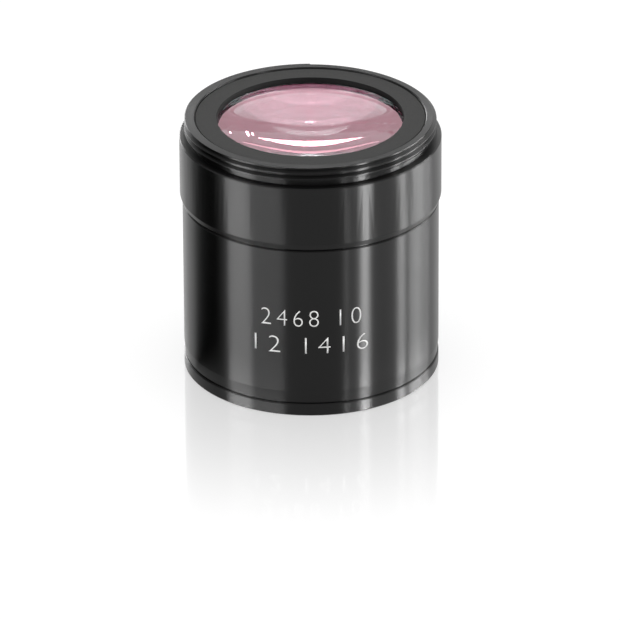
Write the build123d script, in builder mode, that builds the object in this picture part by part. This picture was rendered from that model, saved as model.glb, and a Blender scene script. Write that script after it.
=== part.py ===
"""Microscope objective for a stereo microscope with one common main lens.

It stands on its nose: z = 0 is the nose face and the mounting thread points up.
All sizes are in millimetres. The glass is stacked upwards from the nose and the casing is
as long as the stack needs. The radii are stepped inwards and outwards from the sleeve.
"""

import os

from build123d import *

# Casing: the sleeve, and how far the other rings stand out from it or in from it
sleeve_radius = 30.6
sleeve_wall = 2.25
ring_overhang = 0.6
seam_depth = 0.7
sleeve_taper_height = 2.9
sleeve_taper_depth = 0.25
edge_bevel = 0.25
foot_bevel = 0.3
ring_under_chamfer_height = 1.3
ring_under_chamfer_depth = 0.4

nose_flange_height = 3.1
nose_groove_height = 0.4
seam_height = 0.6
ring_height = 15.9
collar_height = 4.7

# Threaded collar at the rear, which screws into the microscope body up to its shoulder
shoulder_step = 1.2
collar_wall = 2.5
thread_relief_depth = 1.15
thread_relief_height = 1.0
thread_runout_height = 0.5
shoulder_relief_depth = 0.2
rim_bevel = 0.25

# Rear opening
annulus_depth = 0.25
rear_ring_height = 3.5
rear_lip_thickness = 1.4
rear_lip_cover = 0.8
rear_ring_bevel = 0.2

# Spigots inside the sleeve
mount_skirt_length = 10.0
mount_skirt_wall = 1.95
nose_spigot_length = 8.5
nose_ledge_width = 2.85
nose_mouth_chamfer = 1.2

# Lens cells
rear_cell_wall = 3.2
cell_flange_thickness = 2.8
main_cell_counterbore_depth = 10.0
main_cell_skirt_wall = 1.75
rib_thickness = 1.2
rib_width = 1.8
front_neck_wall = 2.85
front_lip_thickness = 1.2
front_lip_cover = 1.0
front_ring_height = 2.5
front_ring_overhang = 0.5
front_ring_width = 1.6
front_ring_slot_width = 1.5
front_ring_slot_depth = 1.0
front_cell_recess = 5.5
front_cell_foot_clearance = 1.0
cell_gap = 1.8
shim_thickness = 0.3
stop_thickness = 0.3
stop_width = 2.1

# Grub screws that lock the main cell
screw_radius = 1.0
screw_count = 3
screw_drop = 4.8
screw_socket_width = 0.9
screw_socket_depth = 0.9
screw_tip_height = 0.5
screw_tip_radius = 0.5
lock_groove_depth = 0.55
lock_groove_width = 2.4
screw_recess = 0.1

# Glass: a positive radius of curvature bulges upwards, a negative one bulges downwards.
# A crown is given by the thickness of its edge, and the other elements by their centre.
lens_bevel = 0.2

rear_top_curve = 190.0
rear_cement_curve = -85.0
rear_bottom_curve = -206.0
rear_crown_edge = 2.9
rear_flint_thickness = 3.0

rear_air_gap = 5.452
rear_spacer_wall = 1.35

middle_top_curve = 96.0
middle_cement_curve = -160.0
middle_bottom_curve = 46.0
middle_crown_edge = 4.5
middle_flint_thickness = 3.0
middle_seat_width = 1.7

meniscus_top_curve = -52.0
meniscus_bottom_curve = -66.0
meniscus_thickness = 4.5
meniscus_seat_width = 0.9

front_air_gap = 0.8
front_spacer_wall = 1.3

front_top_curve = 144.0
front_cement_curve = 80.0
front_bottom_curve = -50.0
front_flint_thickness = 3.0
front_crown_edge = 2.2

# Clearances
thread_clearance = 0.1
slip_clearance = 0.05
cell_clearance = 0.1
seat_clearance = 0.02
ring_gap = 0.3

# Radii of the casing that follow
ring_radius = sleeve_radius + ring_overhang
neck_radius = sleeve_radius - seam_depth
sleeve_bore = sleeve_radius - sleeve_wall
spigot_radius = sleeve_bore - slip_clearance
thread_radius = ring_radius - shoulder_step
thread_relief_radius = thread_radius - thread_relief_depth
seat_face_radius = thread_radius + thread_clearance
recess_radius = thread_radius - collar_wall

# Radii of the cells that follow
cell_bore = spigot_radius - mount_skirt_wall
cell_radius = cell_bore - cell_clearance
cell_flange_radius = recess_radius - cell_clearance
front_neck_bore = cell_radius - main_cell_skirt_wall
front_neck_radius = front_neck_bore - thread_clearance
nose_bore_radius = cell_bore - nose_ledge_width

# Radii of the glass and of the rings that hold it
rear_seat_bore = cell_radius - rear_cell_wall
rear_lens_radius = rear_seat_bore - slip_clearance
rear_aperture_radius = rear_lens_radius - rear_lip_cover
rear_ring_radius = recess_radius - thread_clearance
rear_ring_counterbore = rear_lens_radius + ring_gap
rear_spacer_bore = rear_lens_radius - rear_spacer_wall
middle_seat_radius = rear_lens_radius - middle_seat_width
stop_bore_radius = rear_lens_radius - stop_width
rib_bore_radius = rear_lens_radius - rib_width
front_seat_bore = front_neck_radius - front_neck_wall
front_lens_radius = front_seat_bore - slip_clearance
front_lip_bore_radius = front_lens_radius - front_lip_cover
meniscus_seat_radius = front_lens_radius - meniscus_seat_width
front_spacer_bore = front_lens_radius - front_spacer_wall
front_ring_radius = front_lens_radius + front_ring_overhang
front_ring_thread_bore = front_ring_radius + thread_clearance
front_ring_bore_radius = front_ring_radius - front_ring_width


def surface_height(vertex, curve, radius):
    """Height of a spherical glass surface at a radius from the axis."""
    bulge = abs(curve) - (curve**2 - radius**2) ** 0.5
    return vertex - bulge if curve > 0 else vertex + bulge


def centre_thickness(edge, top_curve, bottom_curve, radius):
    """Thickness on the axis of an element whose edge thickness is given."""
    return edge - surface_height(0, top_curve, radius) + surface_height(0, bottom_curve, radius)


rear_crown_thickness = centre_thickness(
    rear_crown_edge, rear_top_curve, rear_cement_curve, rear_lens_radius
)
middle_crown_thickness = centre_thickness(
    middle_crown_edge, middle_top_curve, middle_cement_curve, rear_lens_radius
)
front_crown_thickness = centre_thickness(
    front_crown_edge, front_cement_curve, front_bottom_curve, front_lens_radius
)

# Heights of the front group, from the foot of its cell up to the lip over the meniscus
front_cell_bottom = front_cell_recess
front_ring_bottom = front_cell_bottom + ring_gap
front_ring_top = front_ring_bottom + front_ring_height
front_ring_seat = front_ring_top + seat_clearance
front_bottom = front_ring_seat - surface_height(0, front_bottom_curve, front_ring_bore_radius)
front_thread_top = surface_height(front_bottom, front_bottom_curve, front_lens_radius)
front_cement = front_bottom + front_crown_thickness
front_top = front_cement + front_flint_thickness
meniscus_bottom = front_top + front_air_gap
meniscus_top = meniscus_bottom + meniscus_thickness
meniscus_seat = surface_height(meniscus_top, meniscus_top_curve, meniscus_seat_radius)
front_cell_top = meniscus_seat + front_lip_thickness

# Heights of the two rear groups, from the rib of the main cell up to the lip of the rear ring
rib_bottom = front_cell_top + cell_gap
stop_bottom = rib_bottom + rib_thickness
middle_seat = stop_bottom + stop_thickness
middle_bottom = middle_seat - surface_height(0, middle_bottom_curve, middle_seat_radius)
middle_cement = middle_bottom + middle_flint_thickness
middle_top = middle_cement + middle_crown_thickness
rear_bottom = middle_top + rear_air_gap
rear_cement = rear_bottom + rear_flint_thickness
rear_top = rear_cement + rear_crown_thickness
lip_seat = surface_height(rear_top, rear_top_curve, rear_aperture_radius)
lip_underside = lip_seat + seat_clearance
annulus = lip_underside + rear_lip_thickness

# Heights of the casing round them
rim = annulus + annulus_depth
shoulder = rim - collar_height
ring_bottom = shoulder - ring_height
sleeve_top = ring_bottom - seam_height
sleeve_bottom = nose_flange_height + nose_groove_height
skirt_bottom = sleeve_top - mount_skirt_length
nose_spigot_top = sleeve_bottom + nose_spigot_length
nose_step = front_cell_bottom - front_cell_foot_clearance

# Seats of the cells and places of the grub screws
main_cell_bottom = rib_bottom - main_cell_counterbore_depth
front_cell_flange = main_cell_bottom - shim_thickness
cell_flange_top = annulus - rear_ring_height
cell_flange_bottom = cell_flange_top - cell_flange_thickness
recess_floor = cell_flange_bottom - shim_thickness
screw_height = sleeve_top - screw_drop
screw_hole_radius = screw_radius + slip_clearance
screw_outer = spigot_radius - screw_recess
screw_inner = cell_radius - lock_groove_depth + seat_clearance
screw_shank_start = screw_inner + screw_tip_height


def ring_section(points):
    """Half section of a turned ring, from radius and height pairs."""
    with BuildSketch(Plane.XZ) as section:
        with BuildLine():
            Polyline(*points, close=True)
        make_face()
    return section.sketch


def tube_section(bore, radius, bottom, top):
    """Half section of a plain tube or washer."""
    return ring_section([(bore, bottom), (radius, bottom), (radius, top), (bore, top)])


def lens_section(radius, top, top_curve, bottom, bottom_curve, top_seat=None, bottom_seat=None):
    """Half section of a glass element. Outside a seat radius a hollow surface is ground flat."""
    top_radius = top_seat or radius
    bottom_radius = bottom_seat or radius
    top_edge = surface_height(top, top_curve, top_radius)
    bottom_edge = surface_height(bottom, bottom_curve, bottom_radius)
    with BuildSketch(Plane.XZ) as section:
        with BuildLine():
            ThreePointArc(
                (0, top),
                (top_radius / 2, surface_height(top, top_curve, top_radius / 2)),
                (top_radius, top_edge),
            )
            if top_seat:
                Line((top_radius, top_edge), (radius, top_edge))
            Line((radius, top_edge), (radius, bottom_edge))
            if bottom_seat:
                Line((radius, bottom_edge), (bottom_radius, bottom_edge))
            ThreePointArc(
                (bottom_radius, bottom_edge),
                (bottom_radius / 2, surface_height(bottom, bottom_curve, bottom_radius / 2)),
                (0, bottom),
            )
            Line((0, bottom), (0, top))
        make_face()
        chamfer(section.vertices().group_by(Axis.X)[-1], length=lens_bevel)
    return section.sketch


# Mount ring: collar, relief groove, shoulder, grip ring, seam neck and the skirt in the sleeve
with BuildPart() as mount_ring:
    mount_ring_section = ring_section(
        [
            (cell_bore, skirt_bottom),
            (spigot_radius, skirt_bottom),
            (spigot_radius, sleeve_top),
            (neck_radius, sleeve_top),
            (neck_radius, ring_bottom),
            (ring_radius - ring_under_chamfer_depth, ring_bottom),
            (ring_radius, ring_bottom + ring_under_chamfer_height),
            (ring_radius, shoulder - edge_bevel),
            (ring_radius - edge_bevel, shoulder),
            (seat_face_radius, shoulder),
            (seat_face_radius, shoulder - shoulder_relief_depth),
            (thread_relief_radius, shoulder - shoulder_relief_depth),
            (thread_relief_radius, shoulder + thread_relief_height),
            (thread_radius, shoulder + thread_relief_height + thread_runout_height),
            (thread_radius, rim - rim_bevel),
            (thread_radius - rim_bevel, rim),
            (recess_radius + rim_bevel, rim),
            (recess_radius, rim - rim_bevel),
            (recess_radius, recess_floor),
            (cell_bore, recess_floor),
        ]
    )
    revolve(mount_ring_section, axis=Axis.Z)
    with Locations((0, 0, screw_height)):
        with PolarLocations((cell_bore + spigot_radius) / 2, screw_count):
            Cylinder(
                screw_hole_radius,
                spigot_radius - cell_bore + ring_gap,
                rotation=(0, 90, 0),
                mode=Mode.SUBTRACT,
            )
mount_ring.part.label = "mount_ring"

# Outer sleeve: a thin-walled casing with a long shallow taper at its lower edge
with BuildPart() as outer_sleeve:
    sleeve_section = ring_section(
        [
            (sleeve_bore, sleeve_bottom),
            (sleeve_radius - sleeve_taper_depth, sleeve_bottom),
            (sleeve_radius, sleeve_bottom + sleeve_taper_height),
            (sleeve_radius, sleeve_top - edge_bevel),
            (sleeve_radius - edge_bevel, sleeve_top),
            (sleeve_bore, sleeve_top),
        ]
    )
    revolve(sleeve_section, axis=Axis.Z)
outer_sleeve.part.label = "outer_sleeve"

# Nose ring: the foot, the dark groove above it and the spigot in the sleeve
with BuildPart() as nose_ring:
    nose_section = ring_section(
        [
            (nose_bore_radius + nose_mouth_chamfer, 0),
            (sleeve_radius - foot_bevel, 0),
            (sleeve_radius, foot_bevel),
            (sleeve_radius, nose_flange_height - edge_bevel),
            (sleeve_radius - edge_bevel, nose_flange_height),
            (neck_radius, nose_flange_height),
            (neck_radius, sleeve_bottom),
            (spigot_radius, sleeve_bottom),
            (spigot_radius, nose_spigot_top),
            (cell_bore, nose_spigot_top),
            (cell_bore, nose_step),
            (nose_bore_radius, nose_step),
            (nose_bore_radius, nose_mouth_chamfer),
        ]
    )
    revolve(nose_section, axis=Axis.Z)
nose_ring.part.label = "nose_ring"

# Rear retaining ring: the dull annulus, with the lip that holds the rear lens
with BuildPart() as rear_retaining_ring:
    rear_ring_section = ring_section(
        [
            (rear_ring_counterbore, cell_flange_top),
            (rear_ring_radius, cell_flange_top),
            (rear_ring_radius, annulus - rear_ring_bevel),
            (rear_ring_radius - rear_ring_bevel, annulus),
            (rear_aperture_radius + rear_ring_bevel, annulus),
            (rear_aperture_radius, annulus - rear_ring_bevel),
            (rear_aperture_radius, lip_underside),
            (rear_ring_counterbore, lip_underside),
        ]
    )
    revolve(rear_ring_section, axis=Axis.Z)
rear_retaining_ring.part.label = "rear_retaining_ring"

# Parfocal shim, under the flange of the main cell
with BuildPart() as parfocal_shim:
    parfocal_section = tube_section(
        cell_bore,
        cell_flange_radius,
        recess_floor,
        cell_flange_bottom,
    )
    revolve(parfocal_section, axis=Axis.Z)
parfocal_shim.part.label = "parfocal_shim"

# Main lens cell: flange, barrel with the groove for the grub screws, rib and lower counterbore
with BuildPart() as main_lens_cell:
    main_cell_section = ring_section(
        [
            (rear_seat_bore, cell_flange_top),
            (cell_flange_radius, cell_flange_top),
            (cell_flange_radius, cell_flange_bottom),
            (cell_radius, cell_flange_bottom),
            (cell_radius, screw_height + lock_groove_width / 2),
            (cell_radius - lock_groove_depth, screw_height + lock_groove_width / 2),
            (cell_radius - lock_groove_depth, screw_height - lock_groove_width / 2),
            (cell_radius, screw_height - lock_groove_width / 2),
            (cell_radius, main_cell_bottom),
            (front_neck_bore, main_cell_bottom),
            (front_neck_bore, rib_bottom),
            (rib_bore_radius, rib_bottom),
            (rib_bore_radius, stop_bottom),
            (rear_seat_bore, stop_bottom),
        ]
    )
    revolve(main_cell_section, axis=Axis.Z)
main_lens_cell.part.label = "main_lens_cell"

# Front lens cell: threaded neck in the main cell, lip over the meniscus and the nose barrel
with BuildPart() as front_lens_cell:
    front_cell_section = ring_section(
        [
            (front_lip_bore_radius, meniscus_seat),
            (front_lip_bore_radius, front_cell_top),
            (front_neck_radius, front_cell_top),
            (front_neck_radius, front_cell_flange),
            (cell_radius, front_cell_flange),
            (cell_radius, front_cell_bottom),
            (front_ring_thread_bore, front_cell_bottom),
            (front_ring_thread_bore, front_thread_top),
            (front_seat_bore, front_thread_top),
            (front_seat_bore, meniscus_seat),
        ]
    )
    revolve(front_cell_section, axis=Axis.Z)
front_lens_cell.part.label = "front_lens_cell"

# Air gap shim, between the two cells
with BuildPart() as air_gap_shim:
    air_gap_section = tube_section(
        front_neck_bore,
        cell_radius,
        front_cell_flange,
        main_cell_bottom,
    )
    revolve(air_gap_section, axis=Axis.Z)
air_gap_shim.part.label = "air_gap_shim"

# Front retaining ring, with two slots for a pin spanner
with BuildPart() as front_retaining_ring:
    front_ring_section = tube_section(
        front_ring_bore_radius,
        front_ring_radius,
        front_ring_bottom,
        front_ring_top,
    )
    revolve(front_ring_section, axis=Axis.Z)
    with BuildSketch(Plane.XY.offset(front_ring_bottom)):
        Rectangle(2 * front_ring_thread_bore, front_ring_slot_width)
    extrude(amount=front_ring_slot_depth, mode=Mode.SUBTRACT)
front_retaining_ring.part.label = "front_retaining_ring"

# Grub screws through the skirt of the mount ring, their tips in the groove of the main cell
with BuildPart() as cell_set_screws:
    for turn in range(screw_count):
        screw_plane = Plane(
            origin=(0, 0, screw_height),
            z_dir=Vector(1, 0, 0).rotate(Axis.Z, turn * 360 / screw_count),
        )
        with BuildSketch(screw_plane.offset(screw_inner)):
            Circle(screw_tip_radius)
        with BuildSketch(screw_plane.offset(screw_shank_start)):
            Circle(screw_radius)
        loft()
        with BuildSketch(screw_plane.offset(screw_shank_start)):
            Circle(screw_radius)
        extrude(amount=screw_outer - screw_shank_start)
        with BuildSketch(screw_plane.offset(screw_outer)):
            RegularPolygon(screw_socket_width / 2, 6, major_radius=False)
        extrude(amount=-screw_socket_depth, mode=Mode.SUBTRACT)
cell_set_screws.part.label = "cell_set_screws"

# Rear group: a cemented crown and flint
with BuildPart() as rear_crown_lens:
    rear_crown_section = lens_section(
        rear_lens_radius,
        rear_top,
        rear_top_curve,
        rear_cement,
        rear_cement_curve,
    )
    revolve(rear_crown_section, axis=Axis.Z)
rear_crown_lens.part.label = "rear_crown_lens"

with BuildPart() as rear_flint_lens:
    rear_flint_section = lens_section(
        rear_lens_radius,
        rear_cement,
        rear_cement_curve,
        rear_bottom,
        rear_bottom_curve,
    )
    revolve(rear_flint_section, axis=Axis.Z)
rear_flint_lens.part.label = "rear_flint_lens"

# Rear spacer, which touches the curved faces of both groups at its bore
with BuildPart() as rear_spacer:
    rear_spacer_section = tube_section(
        rear_spacer_bore,
        rear_lens_radius,
        surface_height(middle_top, middle_top_curve, rear_spacer_bore) + seat_clearance,
        surface_height(rear_bottom, rear_bottom_curve, rear_spacer_bore) - seat_clearance,
    )
    revolve(rear_spacer_section, axis=Axis.Z)
rear_spacer.part.label = "rear_spacer"

# Middle group: a cemented crown and a hollow-faced flint
with BuildPart() as middle_crown_lens:
    middle_crown_section = lens_section(
        rear_lens_radius,
        middle_top,
        middle_top_curve,
        middle_cement,
        middle_cement_curve,
    )
    revolve(middle_crown_section, axis=Axis.Z)
middle_crown_lens.part.label = "middle_crown_lens"

with BuildPart() as middle_flint_lens:
    middle_flint_section = lens_section(
        rear_lens_radius,
        middle_cement,
        middle_cement_curve,
        middle_bottom,
        middle_bottom_curve,
        bottom_seat=middle_seat_radius,
    )
    revolve(middle_flint_section, axis=Axis.Z)
middle_flint_lens.part.label = "middle_flint_lens"

# Light stop, between the middle group and the rib of the main cell
with BuildPart() as light_stop:
    stop_section = tube_section(stop_bore_radius, rear_lens_radius, stop_bottom, middle_seat)
    revolve(stop_section, axis=Axis.Z)
light_stop.part.label = "light_stop"

# Meniscus, whose hollow face points up to the stop
with BuildPart() as meniscus_lens:
    meniscus_section = lens_section(
        front_lens_radius,
        meniscus_top,
        meniscus_top_curve,
        meniscus_bottom,
        meniscus_bottom_curve,
        top_seat=meniscus_seat_radius,
    )
    revolve(meniscus_section, axis=Axis.Z)
meniscus_lens.part.label = "meniscus_lens"

# Front spacer, which touches the curved faces of both groups at its bore
with BuildPart() as front_spacer:
    front_spacer_section = tube_section(
        front_spacer_bore,
        front_lens_radius,
        surface_height(front_top, front_top_curve, front_spacer_bore) + seat_clearance,
        surface_height(meniscus_bottom, meniscus_bottom_curve, front_spacer_bore)
        - seat_clearance,
    )
    revolve(front_spacer_section, axis=Axis.Z)
front_spacer.part.label = "front_spacer"

# Front group: a cemented flint and crown
with BuildPart() as front_flint_lens:
    front_flint_section = lens_section(
        front_lens_radius,
        front_top,
        front_top_curve,
        front_cement,
        front_cement_curve,
    )
    revolve(front_flint_section, axis=Axis.Z)
front_flint_lens.part.label = "front_flint_lens"

with BuildPart() as front_crown_lens:
    front_crown_section = lens_section(
        front_lens_radius,
        front_cement,
        front_cement_curve,
        front_bottom,
        front_bottom_curve,
    )
    revolve(front_crown_section, axis=Axis.Z)
front_crown_lens.part.label = "front_crown_lens"

pieces = [
    mount_ring,
    outer_sleeve,
    nose_ring,
    rear_retaining_ring,
    parfocal_shim,
    main_lens_cell,
    front_lens_cell,
    air_gap_shim,
    front_retaining_ring,
    cell_set_screws,
    rear_crown_lens,
    rear_flint_lens,
    rear_spacer,
    middle_crown_lens,
    middle_flint_lens,
    light_stop,
    meniscus_lens,
    front_spacer,
    front_flint_lens,
    front_crown_lens,
]

os.makedirs("parts", exist_ok=True)
for piece in pieces:
    export_step(piece.part, f"parts/{piece.part.label}.step")
    print(piece.part.label, round(piece.part.volume, 1))
print("Height of the rim:", round(rim, 3), "and of the shoulder:", round(shoulder, 3))
print("Length of the sleeve:", round(sleeve_top - sleeve_bottom, 3))
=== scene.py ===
# %% [markdown]
# A microscope objective, dressed for the camera
#
# The objective is the large main lens of a stereo microscope. It stands on its nose on a
# white table, with the mounting thread and the coated rear lens on top. The turned pieces
# come from the CAD frame and keep their shape. This script adds what a lathe, a printer and
# an anodising bath add: the thread, the numerals, the finishes, and the light of a studio.

# %% Load the frame
import math

import bpy
from mathutils import Matrix, Vector


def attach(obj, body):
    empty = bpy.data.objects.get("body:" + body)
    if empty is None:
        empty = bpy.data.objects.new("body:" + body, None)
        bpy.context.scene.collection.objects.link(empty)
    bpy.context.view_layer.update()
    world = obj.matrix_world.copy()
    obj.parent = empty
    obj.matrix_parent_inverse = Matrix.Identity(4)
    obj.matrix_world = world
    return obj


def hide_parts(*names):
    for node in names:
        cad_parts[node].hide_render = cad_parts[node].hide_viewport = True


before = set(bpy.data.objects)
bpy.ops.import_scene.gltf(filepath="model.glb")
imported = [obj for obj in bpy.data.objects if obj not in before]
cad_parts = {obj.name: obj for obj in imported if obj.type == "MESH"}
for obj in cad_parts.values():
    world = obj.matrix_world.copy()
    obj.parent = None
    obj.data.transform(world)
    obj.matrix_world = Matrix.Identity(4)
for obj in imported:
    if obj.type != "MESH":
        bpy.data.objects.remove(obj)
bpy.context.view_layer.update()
print("CAD nodes:", sorted(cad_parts))

# %% [markdown]
# Small tools
#
# A few helpers are used all through: a millimetre, a way to turn the sRGB colours that people
# write into the linear ones that Blender mixes, one function that adds a shader node with its
# settings and links, and one that makes a single object active before an operator works on it.

# %% Helpers
mm = 0.001


def linear(hex_colour):
    """Linear RGBA of an sRGB hex colour such as "#1a2b3c"."""
    channels = [int(hex_colour[i : i + 2], 16) / 255 for i in (1, 3, 5)]
    curved = [c / 12.92 if c <= 0.04045 else ((c + 0.055) / 1.055) ** 2.4 for c in channels]
    return (*curved, 1.0)


def add_node(tree, kind, settings=None, inputs=None):
    """Adds a shader node, sets its own settings, then sets or links its input sockets."""
    node = tree.nodes.new(kind)
    for name, value in (settings or {}).items():
        setattr(node, name, value)
    for name, value in (inputs or {}).items():
        socket = node.inputs[name]
        if isinstance(value, bpy.types.NodeSocket):
            tree.links.new(value, socket)
        else:
            socket.default_value = value
    return node


def new_material(name):
    """A node material that holds only its output node."""
    material = bpy.data.materials.new(name)
    material.use_nodes = True
    material.node_tree.nodes.clear()
    output = add_node(material.node_tree, "ShaderNodeOutputMaterial")
    return material, material.node_tree, output


def only(piece):
    """Makes one object the whole selection and the active object."""
    bpy.ops.object.select_all(action="DESELECT")
    piece.select_set(True)
    bpy.context.view_layer.objects.active = piece


def apply_modifiers(piece):
    only(piece)
    for modifier in list(piece.modifiers):
        bpy.ops.object.modifier_apply(modifier=modifier.name)


def report(piece):
    low = [min(v.co[i] for v in piece.data.vertices) / mm for i in range(3)]
    high = [max(v.co[i] for v in piece.data.vertices) / mm for i in range(3)]
    size = [round(b - a, 2) for a, b in zip(low, high)]
    print(piece.name, "faces:", len(piece.data.polygons), "size, mm:", size)


# %% [markdown]
# The camera
#
# The photograph looks down on the objective from about 26 degrees, from far away with a long
# lens, so that its sides stay nearly parallel. The camera stands in front, and is aimed a
# little below the objective, which leaves the objective high in the frame.

# %% Camera
image_side = 620
view_elevation = math.radians(25.7)
view_distance = 1800 * mm
view_roll = math.radians(-0.3)
pixels_per_mm = 4.18
middle_height = 32.2 * mm
middle_pixel = (311.4, 238.0)
sensor_width = 36.0

focal_pixels = pixels_per_mm / mm * view_distance
camera_data = bpy.data.cameras.new("studio_camera")
camera_data.sensor_width = sensor_width
camera_data.lens = sensor_width * focal_pixels / image_side
camera_data.clip_end = 20
camera = bpy.data.objects.new("studio_camera", camera_data)
bpy.context.scene.collection.objects.link(camera)
bpy.context.scene.camera = camera

tilt_below = math.atan((image_side / 2 - middle_pixel[1]) / focal_pixels)
turn_aside = math.atan((image_side / 2 - middle_pixel[0]) / focal_pixels)
camera.location = (
    0,
    -view_distance * math.cos(view_elevation),
    middle_height + view_distance * math.sin(view_elevation),
)
yaw = Matrix.Rotation(-turn_aside, 4, "Z")
pitch = Matrix.Rotation(math.pi / 2 - view_elevation - tilt_below, 4, "X")
camera.rotation_euler = (yaw @ pitch @ Matrix.Rotation(view_roll, 4, "Z")).to_euler()
print("Camera lens, mm:", round(camera_data.lens, 1))

# %% [markdown]
# The mounting thread
#
# The collar carries a thread of 60 mm by 1.5 mm. On the real ring a pointed tool cuts one
# V-shaped groove in a plain collar while the ring turns. The same is done here: a small
# trapezium, the shape of the tool, is swept round the axis by a Screw modifier, and the
# helix that it leaves is taken away from a copy of the ring.

# %% Thread cutter
thread_radius = 30.0 * mm
thread_pitch = 1.5 * mm
thread_depth = 0.85 * mm
crest_width = thread_pitch / 8
flank_slope = math.tan(math.radians(30))
cutter_overlap = 0.1 * mm
cutter_weld = 0.001 * mm
ring_weld = 0.002 * mm
groove_height_in_front = 61.05 * mm
cutter_turns = 3
steps_per_turn = 120

root_radius = thread_radius - thread_depth
cutter_radius = thread_radius + cutter_overlap
mouth_width = thread_pitch - crest_width + 2 * cutter_overlap * flank_slope
root_width = thread_pitch - crest_width - 2 * thread_depth * flank_slope
cutter_start = groove_height_in_front - 0.5 * thread_pitch

bpy.ops.object.select_all(action="DESELECT")
bpy.ops.mesh.primitive_plane_add(
    size=1,
    location=((root_radius + cutter_radius) / 2, 0, cutter_start),
    rotation=(math.pi / 2, 0, 0),
)
cutter = bpy.context.active_object
cutter.name = "thread_cutter"
cutter.scale = (cutter_radius - root_radius, 1, 1)
bpy.ops.object.transform_apply(location=True, rotation=True, scale=True)
for vertex in cutter.data.vertices:
    at_root = vertex.co.x < (root_radius + cutter_radius) / 2
    width = root_width if at_root else mouth_width
    vertex.co.z = cutter_start + math.copysign(width / 2, vertex.co.z - cutter_start)
sweep = cutter.modifiers.new("sweep", "SCREW")
sweep.axis = "Z"
sweep.angle = 2 * math.pi
sweep.screw_offset = thread_pitch
sweep.iterations = cutter_turns
sweep.steps = steps_per_turn
sweep.render_steps = steps_per_turn
apply_modifiers(cutter)
cutter.data.transform(Matrix.Rotation(math.pi / 2, 4, "Z"))

bpy.ops.object.mode_set(mode="EDIT")
bpy.ops.mesh.select_all(action="SELECT")
bpy.ops.mesh.remove_doubles(threshold=cutter_weld)
bpy.ops.mesh.fill_holes(sides=4)
bpy.ops.mesh.select_all(action="SELECT")
bpy.ops.mesh.normals_make_consistent(inside=False)
bpy.ops.object.mode_set(mode="OBJECT")
report(cutter)

# %% Cut the thread
ring_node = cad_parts["mount_ring"]
threaded_ring = bpy.data.objects.new("threaded_mount_ring", ring_node.data.copy())
bpy.context.scene.collection.objects.link(threaded_ring)
only(threaded_ring)
bpy.ops.object.mode_set(mode="EDIT")
bpy.ops.mesh.select_all(action="SELECT")
bpy.ops.mesh.remove_doubles(threshold=ring_weld)
bpy.ops.mesh.normals_make_consistent(inside=False)
bpy.ops.object.mode_set(mode="OBJECT")
cut = threaded_ring.modifiers.new("cut", "BOOLEAN")
cut.operation = "DIFFERENCE"
cut.solver = "EXACT"
cut.object = cutter
apply_modifiers(threaded_ring)
bpy.data.objects.remove(cutter)
only(threaded_ring)
bpy.ops.object.shade_smooth_by_angle(angle=math.radians(10))
report(threaded_ring)

# %% [markdown]
# The cut leaves long thin triangles on the ring, and Blender guesses a slightly crooked normal
# at each of their corners. On glossy metal that shows as scratches. Every face of the ring was
# turned round one axis, so the true normal at a corner is the normal of its face, turned round
# that axis from the middle of the face to the corner.

# %% Normals of a turned piece
normals = []
for face in threaded_ring.data.polygons:
    middle_turn = math.atan2(face.center.y, face.center.x)
    for corner in face.vertices:
        place = threaded_ring.data.vertices[corner].co
        corner_turn = math.atan2(place.y, place.x)
        normals.append(Matrix.Rotation(corner_turn - middle_turn, 3, "Z") @ face.normal)
threaded_ring.data.normals_split_custom_set(normals)
print("Ring has its own normals:", threaded_ring.data.has_custom_normals)
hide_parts("mount_ring")
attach(threaded_ring, "root")

# %% [markdown]
# The numerals
#
# Such a casing carries small white printed characters in two centred lines. Plain numerals
# stand here. Text is a curve in Blender, so it becomes a mesh first. A Shrinkwrap modifier
# then lays the flat letters on the sleeve, straight back from the front, and a Solidify
# modifier gives them the thickness of a coat of ink.

# %% Numerals
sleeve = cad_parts["outer_sleeve"]
cap_height = 4.3 * mm
ink_thickness = 0.02 * mm
ink_gap = 0.01 * mm
letter_step = 1 * mm
letters_start = -35 * mm
stroke_thinning = -0.02
letter_spacing = 1.3
lines = {"2468 10": (25.7 * mm, 23.6 * mm), "12 1416": (18.6 * mm, 26.8 * mm)}
numerals = []
for text, (line_height, line_width) in lines.items():
    bpy.ops.object.select_all(action="DESELECT")
    bpy.ops.object.text_add(location=(0, 0, 0))
    line = bpy.context.active_object
    line.data.body = text
    line.data.align_x = "CENTER"
    line.data.align_y = "CENTER"
    line.data.resolution_u = 6
    line.data.offset = stroke_thinning
    line.data.space_character = letter_spacing
    bpy.ops.object.convert(target="MESH")
    xs = [v.co.x for v in line.data.vertices]
    ys = [v.co.y for v in line.data.vertices]
    middle = Vector(((max(xs) + min(xs)) / 2, (max(ys) + min(ys)) / 2, 0))
    across = line_width / (max(xs) - min(xs))
    up = cap_height / (max(ys) - min(ys))
    for vertex in line.data.vertices:
        flat = vertex.co - middle
        vertex.co = (flat.x * across, letters_start, flat.y * up + line_height)
    bpy.ops.object.mode_set(mode="EDIT")
    first_cut = -math.floor(line_width / 2 / letter_step)
    for i in range(first_cut, -first_cut + 1):
        bpy.ops.mesh.select_all(action="SELECT")
        bpy.ops.mesh.bisect(plane_co=(i * letter_step, 0, 0), plane_no=(1, 0, 0))
    bpy.ops.object.mode_set(mode="OBJECT")
    wrap = line.modifiers.new("wrap", "SHRINKWRAP")
    wrap.target = sleeve
    wrap.wrap_method = "PROJECT"
    wrap.use_project_y = True
    wrap.use_positive_direction = True
    wrap.use_negative_direction = False
    wrap.offset = ink_gap
    coat = line.modifiers.new("coat", "SOLIDIFY")
    coat.thickness = ink_thickness
    coat.offset = 1
    apply_modifiers(line)
    numerals.append(line)

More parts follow.
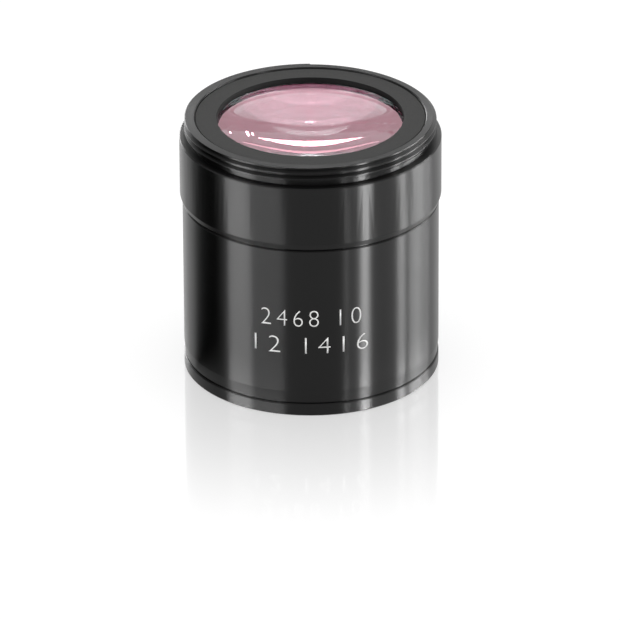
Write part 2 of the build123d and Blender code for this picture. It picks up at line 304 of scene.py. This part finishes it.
only(numerals[0])
for line in numerals:
    line.select_set(True)
bpy.ops.object.join()
printed_numerals = bpy.context.active_object
printed_numerals.name = "printed_numerals"
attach(printed_numerals, "root")
report(printed_numerals)


# %% [markdown]
# Black anodised aluminium
#
# The casing is turned aluminium, anodised and dyed black. The lathe leaves very fine grooves
# that run round each piece, so a lamp's reflection stays narrow from side to side and is drawn
# out from top to bottom. An anisotropic reflection does that without modelling the grooves.
# The few marks that are coarse enough to see come from a noise that is read by height and by
# distance from the axis only, which makes it run round the piece as the tool did.

# %% Black anodised aluminium
turning_mark = 0.3 * mm
turning_mark_depth = 0.0005 * mm
dye_patch = 9 * mm


def turned_coordinates(tree):
    """Distance from the axis and height of each point, as a vector for a texture."""
    place = add_node(tree, "ShaderNodeTexCoord")
    parts = add_node(tree, "ShaderNodeSeparateXYZ", inputs={0: place.outputs["Object"]})
    flat = add_node(
        tree, "ShaderNodeCombineXYZ", inputs={0: parts.outputs["X"], 1: parts.outputs["Y"]}
    )
    radius = add_node(
        tree, "ShaderNodeVectorMath", {"operation": "LENGTH"}, {0: flat.outputs[0]}
    )
    turned = add_node(
        tree,
        "ShaderNodeCombineXYZ",
        inputs={0: radius.outputs["Value"], 2: parts.outputs["Z"]},
    )
    return place.outputs["Object"], turned.outputs[0], radius.outputs["Value"]


# Turned, then anodised: a hard clear layer with black dye in its pores. The eye sees satin
# black with upright streaks. The turning marks are drawn about three times as coarse as real.
black_anodised, tree, output = new_material("black_anodised_aluminium")
place, turned, _ = turned_coordinates(tree)
around = add_node(tree, "ShaderNodeTangent", {"direction_type": "RADIAL", "axis": "Z"})
marks = add_node(
    tree,
    "ShaderNodeTexNoise",
    inputs={"Vector": turned, "Scale": 1 / turning_mark, "Detail": 2.0},
)
ridges = add_node(
    tree,
    "ShaderNodeBump",
    inputs={"Height": marks.outputs["Fac"], "Distance": turning_mark_depth},
)
patches = add_node(
    tree,
    "ShaderNodeTexNoise",
    inputs={"Vector": place, "Scale": 1 / dye_patch, "Detail": 2.0},
)
roughness = add_node(
    tree,
    "ShaderNodeMapRange",
    inputs={"Value": patches.outputs["Fac"], "To Min": 0.27, "To Max": 0.31},
)
surface = add_node(
    tree,
    "ShaderNodeBsdfPrincipled",
    inputs={
        "Base Color": linear("#060606"),
        "Roughness": roughness.outputs[0],
        "IOR": 1.32,
        "Anisotropic": 1.0,
        "Anisotropic Rotation": 0.25,
        "Tangent": around.outputs["Tangent"],
        "Normal": ridges.outputs["Normal"],
    },
)
tree.links.new(surface.outputs["BSDF"], output.inputs["Surface"])

# %% [markdown]
# Matte black aluminium
#
# The ring round the glass and the cells inside are blasted with fine beads before they are
# anodised, so that they throw no glare into the picture. The eye sees an even dark grey with
# a fine grain. The bore of the ring, beside the glass, is coloured near black: painted shade in
# that recess.

# %% Matte black aluminium
bead_mark = 0.28 * mm
bead_mark_depth = 0.02 * mm
shaded_bore_radius = 22.35 * mm

# Blasted, then anodised: thousands of small dents. The eye sees dull dark grey with a fine grain.
# The dents are drawn at 0.28 mm, about three times as coarse as the beads leave them.
matte_black, tree, output = new_material("bead_blasted_black_aluminium")
place, _, radius = turned_coordinates(tree)
beads = add_node(
    tree,
    "ShaderNodeTexNoise",
    inputs={"Vector": place, "Scale": 1 / bead_mark, "Detail": 3.0, "Roughness": 0.6},
)
pits = add_node(
    tree,
    "ShaderNodeBump",
    inputs={"Height": beads.outputs["Fac"], "Distance": bead_mark_depth},
)
# Painted shade: inside the bore radius, beside the glass, the colour drops to near black and
# darkens the recess.
outside_bore = add_node(
    tree,
    "ShaderNodeMath",
    {"operation": "GREATER_THAN"},
    {0: radius, 1: shaded_bore_radius},
)
blasted = add_node(
    tree,
    "ShaderNodeMix",
    {"data_type": "RGBA"},
    {0: beads.outputs["Fac"], 6: linear("#303030"), 7: linear("#474746")},
)
colour = add_node(
    tree,
    "ShaderNodeMix",
    {"data_type": "RGBA"},
    {0: outside_bore.outputs[0], 6: linear("#020202"), 7: blasted.outputs[2]},
)
surface = add_node(
    tree,
    "ShaderNodeBsdfPrincipled",
    inputs={
        "Base Color": colour.outputs[2],
        "Roughness": 0.65,
        "Specular IOR Level": 0.12,
        "Normal": pits.outputs["Normal"],
    },
)
tree.links.new(surface.outputs["BSDF"], output.inputs["Surface"])

# %% [markdown]
# Coated glass
#
# The elements are ground and polished optical glass. The faces that meet air carry a thin
# coating that lets green light pass and throws a little red and blue back, so that every
# reflection is pink. The real coating reflects less than this material does: the photograph
# shows a bright room in ten faces at once, and a higher index stands in for that.

# %% Coated glass
polish_mark = 1.5 * mm


def polished_glass(name, body_colour, reflection_colour, index):
    """Glass whose polish leaves a barely uneven haze of the size of the polisher's marks."""
    material, tree, output = new_material(name)
    place = add_node(tree, "ShaderNodeTexCoord")
    haze = add_node(
        tree,
        "ShaderNodeTexNoise",
        inputs={"Vector": place.outputs["Object"], "Scale": 1 / polish_mark, "Detail": 2.0},
    )
    roughness = add_node(
        tree,
        "ShaderNodeMapRange",
        inputs={"Value": haze.outputs["Fac"], "To Min": 0.0, "To Max": 0.008},
    )
    surface = add_node(
        tree,
        "ShaderNodeBsdfPrincipled",
        inputs={
            "Base Color": linear(body_colour),
            "Roughness": roughness.outputs[0],
            "IOR": index,
            "Transmission Weight": 1.0,
            "Specular Tint": linear(reflection_colour),
        },
    )
    tree.links.new(surface.outputs["BSDF"], output.inputs["Surface"])
    return material


# Ground, polished and coated in a vacuum. The eye sees clear glass with pink reflections.
coated_glass = polished_glass("coated_optical_glass", "#fef4f8", "#ff709a", 2.05)
# Ground and polished, and cemented to its neighbour. The eye sees paler reflections.
inner_glass = polished_glass("polished_optical_glass", "#fef8fa", "#ffbccf", 2.05)

# %% [markdown]
# Brass, blackened brass, steel and ink
#
# The two shims are rolled brass, which shows fine straight lines from the rolls. The light stop
# is the same brass, blackened in a bath that leaves it brown-black and slightly cloudy. The grub
# screws are turned steel with a black oxide skin, darker in some places than in others. The
# numerals are screen printed, and the white ink is slightly uneven where it came off the mesh.

# %% Small finishes
rolling_line = 0.2 * mm
cloud_size = 1.2 * mm
mesh_pitch = 0.12 * mm


def clouded(
    name, low_colour, high_colour, grain, low_roughness, high_roughness, metallic, stretch
):
    """A finish whose colour and roughness drift between two values over a grain of a real size."""
    material, tree, output = new_material(name)
    place = add_node(tree, "ShaderNodeTexCoord")
    stretched = add_node(
        tree,
        "ShaderNodeMapping",
        inputs={"Vector": place.outputs["Object"], "Scale": (1 / stretch, 1, 1)},
    )
    cloud = add_node(
        tree,
        "ShaderNodeTexNoise",
        inputs={"Vector": stretched.outputs[0], "Scale": 1 / grain, "Detail": 3.0},
    )
    colour = add_node(
        tree,
        "ShaderNodeMix",
        {"data_type": "RGBA"},
        {0: cloud.outputs["Fac"], 6: linear(low_colour), 7: linear(high_colour)},
    )
    roughness = add_node(
        tree,
        "ShaderNodeMapRange",
        inputs={"Value": cloud.outputs["Fac"], "To Min": low_roughness, "To Max": high_roughness},
    )
    grain_bump = add_node(
        tree,
        "ShaderNodeBump",
        inputs={"Height": cloud.outputs["Fac"], "Distance": grain / 60},
    )
    surface = add_node(
        tree,
        "ShaderNodeBsdfPrincipled",
        inputs={
            "Base Color": colour.outputs[2],
            "Roughness": roughness.outputs[0],
            "Metallic": metallic,
            "Normal": grain_bump.outputs["Normal"],
        },
    )
    tree.links.new(surface.outputs["BSDF"], output.inputs["Surface"])
    return material


# Rolled sheet: straight fine lines and a warm satin sheen.
rolled_brass = clouded("rolled_brass", "#a98545", "#c29d57", rolling_line, 0.3, 0.42, 1.0, 40)
# Blackened in a bath: brown-black and slightly cloudy.
blackened_brass = clouded("blackened_brass", "#17130f", "#2a241c", cloud_size, 0.5, 0.65, 1.0, 1)
# Turned and oxidised: a dark skin that is uneven in places.
black_steel = clouded("black_oxide_steel", "#1b1b1d", "#2c2c2f", cloud_size, 0.32, 0.45, 1.0, 1)
# Pressed through a mesh: matte white, a little uneven.
white_ink = clouded("white_screen_ink", "#ededeb", "#f6f6f4", mesh_pitch, 0.45, 0.6, 0.0, 1)

# %% Give each piece its finish
finish_of = {
    "mount_ring": black_anodised,
    "outer_sleeve": black_anodised,
    "nose_ring": black_anodised,
    "rear_retaining_ring": matte_black,
    "main_lens_cell": matte_black,
    "front_lens_cell": matte_black,
    "front_retaining_ring": matte_black,
    "rear_spacer": matte_black,
    "front_spacer": matte_black,
    "parfocal_shim": rolled_brass,
    "air_gap_shim": rolled_brass,
    "light_stop": blackened_brass,
    "cell_set_screws": black_steel,
    "rear_crown_lens": coated_glass,
    "meniscus_lens": coated_glass,
    "front_crown_lens": coated_glass,
    "rear_flint_lens": inner_glass,
    "middle_crown_lens": inner_glass,
    "middle_flint_lens": inner_glass,
    "front_flint_lens": inner_glass,
}
for name, finish in finish_of.items():
    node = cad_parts[name]
    for slot in node.material_slots:
        slot.material = finish
    print(name, "is", finish.name)
threaded_ring.data.materials.clear()
threaded_ring.data.materials.append(black_anodised)
printed_numerals.data.materials.clear()
printed_numerals.data.materials.append(white_ink)

# %% [markdown]
# The table
#
# The table is a white plate, polished only where the objective stands, so it mirrors the foot
# and the mirror image fades away from it. In a photo studio such a plate is lit from below.
# Here a part of its white comes from a glow that only the camera, mirrors and glass see, and
# the other part from the light of the room, so that the table still keeps a shade at the foot.
# The glow is also weaker near the foot, which paints more shade round it.

# %% Table
table_gap = 0.02 * mm
foot_edge = 34 * mm
mirror_end = 100 * mm
table_side = 6.0
painted_shade_glow_at_foot = 0.44
glow_far_out = 0.62

bpy.ops.object.select_all(action="DESELECT")
bpy.ops.mesh.primitive_plane_add(size=table_side, location=(0, 0, -table_gap))
table = bpy.context.active_object
table.name = "table"


def seen_directly(tree):
    """One for rays of the camera, of mirror reflections and through glass, else nothing."""
    path = add_node(tree, "ShaderNodeLightPath")
    mirror = add_node(
        tree,
        "ShaderNodeMath",
        {"operation": "MAXIMUM"},
        {0: path.outputs["Is Camera Ray"], 1: path.outputs["Is Glossy Ray"]},
    )
    return add_node(
        tree,
        "ShaderNodeMath",
        {"operation": "MAXIMUM"},
        {0: mirror.outputs[0], 1: path.outputs["Is Transmission Ray"]},
    ).outputs[0]


# Pressed acrylic, polished in the middle only: a soft white with a short mirror image, and painted
# shade where its glow dims near the foot.
white_plate, tree, output = new_material("white_plate")
_, _, radius = turned_coordinates(tree)
# Painted shade: the glow is dimmer near the foot than far out, which darkens the table round the
# objective.
glow = add_node(
    tree,
    "ShaderNodeMapRange",
    {"interpolation_type": "SMOOTHSTEP"},
    {
        "Value": radius,
        "From Min": foot_edge,
        "From Max": mirror_end,
        "To Min": painted_shade_glow_at_foot,
        "To Max": glow_far_out,
    },
)
polish = add_node(
    tree,
    "ShaderNodeMapRange",
    {"interpolation_type": "SMOOTHSTEP"},
    {
        "Value": radius,
        "From Min": foot_edge,
        "From Max": mirror_end,
        "To Min": 0.5,
        "To Max": 0.0,
    },
)
glow_seen = add_node(
    tree,
    "ShaderNodeMath",
    {"operation": "MULTIPLY"},
    {0: glow.outputs[0], 1: seen_directly(tree)},
)
surface = add_node(
    tree,
    "ShaderNodeBsdfPrincipled",
    inputs={
        "Base Color": linear("#bcbcbc"),
        "Roughness": 0.06,
        "IOR": 1.75,
        "Specular IOR Level": polish.outputs[0],
        "Emission Color": (1, 1, 1, 1),
        "Emission Strength": glow_seen.outputs[0],
    },
)
tree.links.new(surface.outputs["BSDF"], output.inputs["Surface"])
table.data.materials.append(white_plate)

# %% [markdown]
# The room
#
# The room is white to the camera and in every reflection, and lights all matte surfaces evenly,
# a little under full white.

# %% Room
room = bpy.data.worlds.new("white_room")
bpy.context.scene.world = room
room.use_nodes = True
room.node_tree.nodes.clear()
tree = room.node_tree
strength = add_node(
    tree,
    "ShaderNodeMapRange",
    inputs={"Value": seen_directly(tree), "To Min": 0.9, "To Max": 1.0},
)
background = add_node(
    tree,
    "ShaderNodeBackground",
    inputs={"Color": (1, 1, 1, 1), "Strength": strength.outputs[0]},
)
output = add_node(tree, "ShaderNodeOutputWorld")
tree.links.new(background.outputs[0], output.inputs["Surface"])

# %% [markdown]
# Black card
#
# A glossy black barrel in a white room would be grey at its sides. Photographers lay a black
# card beside it: the barrel mirrors the card, and one side gets a deep black band. This card
# lies on the table at the left and stands up at its far end. Only reflections see it.

# %% Black card
card_corners = [(-33, -27), (-400, -40), (-400, 240), (-33, -8)]
card_height = 300 * mm
card_above_table = 0.3 * mm
card_far_edge = -300 * mm
paper_grain = 2 * mm

bpy.ops.object.select_all(action="DESELECT")
bpy.ops.mesh.primitive_plane_add(size=1, location=(0, 0, 0))
card = bpy.context.active_object
card.name = "black_card"
card_order = {(1, -1): 0, (-1, -1): 1, (-1, 1): 2, (1, 1): 3}
for vertex in card.data.vertices:
    key = (round(math.copysign(1, vertex.co.x)), round(math.copysign(1, vertex.co.y)))
    x, y = card_corners[card_order[key]]
    vertex.co = (x * mm, y * mm, card_above_table)
bpy.ops.object.mode_set(mode="EDIT")
bpy.ops.mesh.select_all(action="DESELECT")
bpy.ops.mesh.select_mode(type="EDGE")
bpy.ops.object.mode_set(mode="OBJECT")
for edge in card.data.edges:
    ends = [card.data.vertices[i].co.x for i in edge.vertices]
    edge.select = max(ends) < card_far_edge
bpy.ops.object.mode_set(mode="EDIT")
bpy.ops.mesh.extrude_region_move(TRANSFORM_OT_translate={"value": (0, 0, card_height)})
bpy.ops.object.mode_set(mode="OBJECT")
card.visible_camera = False
card.visible_diffuse = False
card.visible_shadow = False
card.visible_transmission = False
# Dyed through and matte: no sheen at all, so that the barrel mirrors pure black.
black_paper = clouded("black_card_paper", "#010101", "#030303", paper_grain, 0.8, 0.9, 0.0, 1)
tree = black_paper.node_tree
paper = next(n for n in tree.nodes if n.type == "BSDF_PRINCIPLED")
paper.inputs["Specular IOR Level"].default_value = 0.0
back = add_node(tree, "ShaderNodeNewGeometry")
clear = add_node(tree, "ShaderNodeBsdfTransparent")
one_sided = add_node(
    tree,
    "ShaderNodeMixShader",
    inputs={0: back.outputs["Backfacing"], 1: paper.outputs[0], 2: clear.outputs[0]},
)
output = next(n for n in tree.nodes if n.type == "OUTPUT_MATERIAL")
tree.links.new(one_sided.outputs[0], output.inputs["Surface"])
card.data.materials.append(black_paper)
report(card)

# %% [markdown]
# The softboxes
#
# Low softboxes stand round the table. Each draws one upright streak on the turned casing, as
# wide as the softbox looks from there, and the gaps between them stay dark. Two large dim
# ones behind and above only brighten the glass, and three narrow ones make small glints in it.
# All of them only make reflections, so that the white ink is lit by the room and isn't burnt out.

# %% Softboxes
softbox_distance = 900 * mm


def softbox(name, from_azimuth, to_azimuth, low, high, radiance):
    """A softbox between two azimuths and two elevations. Azimuth 0 is the camera's side."""
    middle_azimuth = math.radians((from_azimuth + to_azimuth) / 2)
    middle_elevation = math.radians((low + high) / 2)
    width = 2 * softbox_distance * math.tan(math.radians(to_azimuth - from_azimuth) / 2)
    height = 2 * softbox_distance * math.tan(math.radians(high - low) / 2)
    lamp = bpy.data.lights.new(name, "AREA")
    lamp.shape = "RECTANGLE"
    lamp.size = width
    lamp.size_y = height
    lamp.energy = radiance * math.pi * width * height
    lamp_object = bpy.data.objects.new(name, lamp)
    lamp_object.location = softbox_distance * Vector(
        (
            math.sin(middle_azimuth) * math.cos(middle_elevation),
            -math.cos(middle_azimuth) * math.cos(middle_elevation),
            math.sin(middle_elevation),
        )
    )
    lamp_object.rotation_euler = (-lamp_object.location).to_track_quat("-Z", "Y").to_euler()
    lamp_object.visible_diffuse = False
    bpy.context.scene.collection.objects.link(lamp_object)
    print(name, "size, m:", round(width, 2), round(height, 2))


# Azimuths in degrees, elevations in degrees, and how bright the box is beside the white room
softboxes = {
    "left_softbox": (-74, -51.5, 0, 12, 78),
    "front_left_softbox": (-50, -23, 0, 12, 24),
    "thin_strip": (29, 30, 0, 12, 120),
    "right_fill_front_softbox": (31, 42, 0, 12, 9),
    "right_slim_softbox": (42.5, 50, 0, 12, 230),
    "right_fill_softbox": (54, 80, 0, 12, 8),
    "right_side_softbox": (79, 87, 0, 12, 140),
    "right_back_softbox": (92, 108, 0, 12, 95),
    "right_far_softbox": (108, 120, 0, 12, 45),
    "left_back_softbox": (-165, -132, 0, 12, 9),
    "glass_back_softbox": (150, 210, 18, 39.5, 0.7),
    "glint_softbox": (186.3, 186.5, 32.0, 33.6, 25),
    "second_glint_softbox": (185.85, 186.0, 32.6, 33.6, 20),
    "outer_glint_softbox": (187.9, 188.0, 31.2, 32.0, 20),
    "glass_top_softbox": (120, 240, 62, 88, 0.15),
}
for name, place_and_radiance in softboxes.items():
    softbox(name, *place_and_radiance)

# %% [markdown]
# The arched lights
#
# Two bent light panels hang behind the objective. The polished face of the rear lens mirrors
# them to the camera as two bright crescents near the front edge of the glass. Each panel is a
# grid whose corners are moved to their azimuth and elevation, narrow at both ends.

# %% Arched lights
arch_steps = 24


def arched_light(name, half_width, low, high, low_at_ends, high_at_ends, radiance):
    """A bent panel behind the objective, in degrees as seen from the middle of the table."""
    bpy.ops.object.select_all(action="DESELECT")
    bpy.ops.mesh.primitive_grid_add(
        x_subdivisions=arch_steps, y_subdivisions=1, size=2, location=(0, 0, 0)
    )
    arch = bpy.context.active_object
    arch.name = name
    for vertex in arch.data.vertices:
        along = vertex.co.x
        lower = low + (low_at_ends - low) * along**2
        upper = high + (high_at_ends - high) * along**2
        elevation = math.radians(lower if vertex.co.y < 0 else upper)
        azimuth = math.radians(180 + half_width * along)
        vertex.co = softbox_distance * Vector(
            (
                math.sin(azimuth) * math.cos(elevation),
                -math.cos(azimuth) * math.cos(elevation),
                math.sin(elevation),
            )
        )
    arch.visible_camera = False
    arch.visible_diffuse = False
    arch.visible_shadow = False
    # A lit diffusing cloth: an even white glow with no surface of its own to see.
    arch_glow, tree, output = new_material(name + "_panel")
    panel = add_node(
        tree, "ShaderNodeEmission", inputs={"Color": (1, 1, 1, 1), "Strength": radiance}
    )
    tree.links.new(panel.outputs[0], output.inputs["Surface"])
    arch.data.materials.append(arch_glow)
    report(arch)


arched_light("inner_arched_light", 5.6, 36.5, 38.1, 34.5, 34.6, 22.0)
arched_light("outer_arched_light", 7.4, 39.6, 40.3, 35.1, 35.3, 5.0)

# %% [markdown]
# Tones
#
# The Standard view shows a surface as light as it is, so the white table comes out white.

# %% Tones
bpy.context.scene.view_settings.view_transform = "Standard"
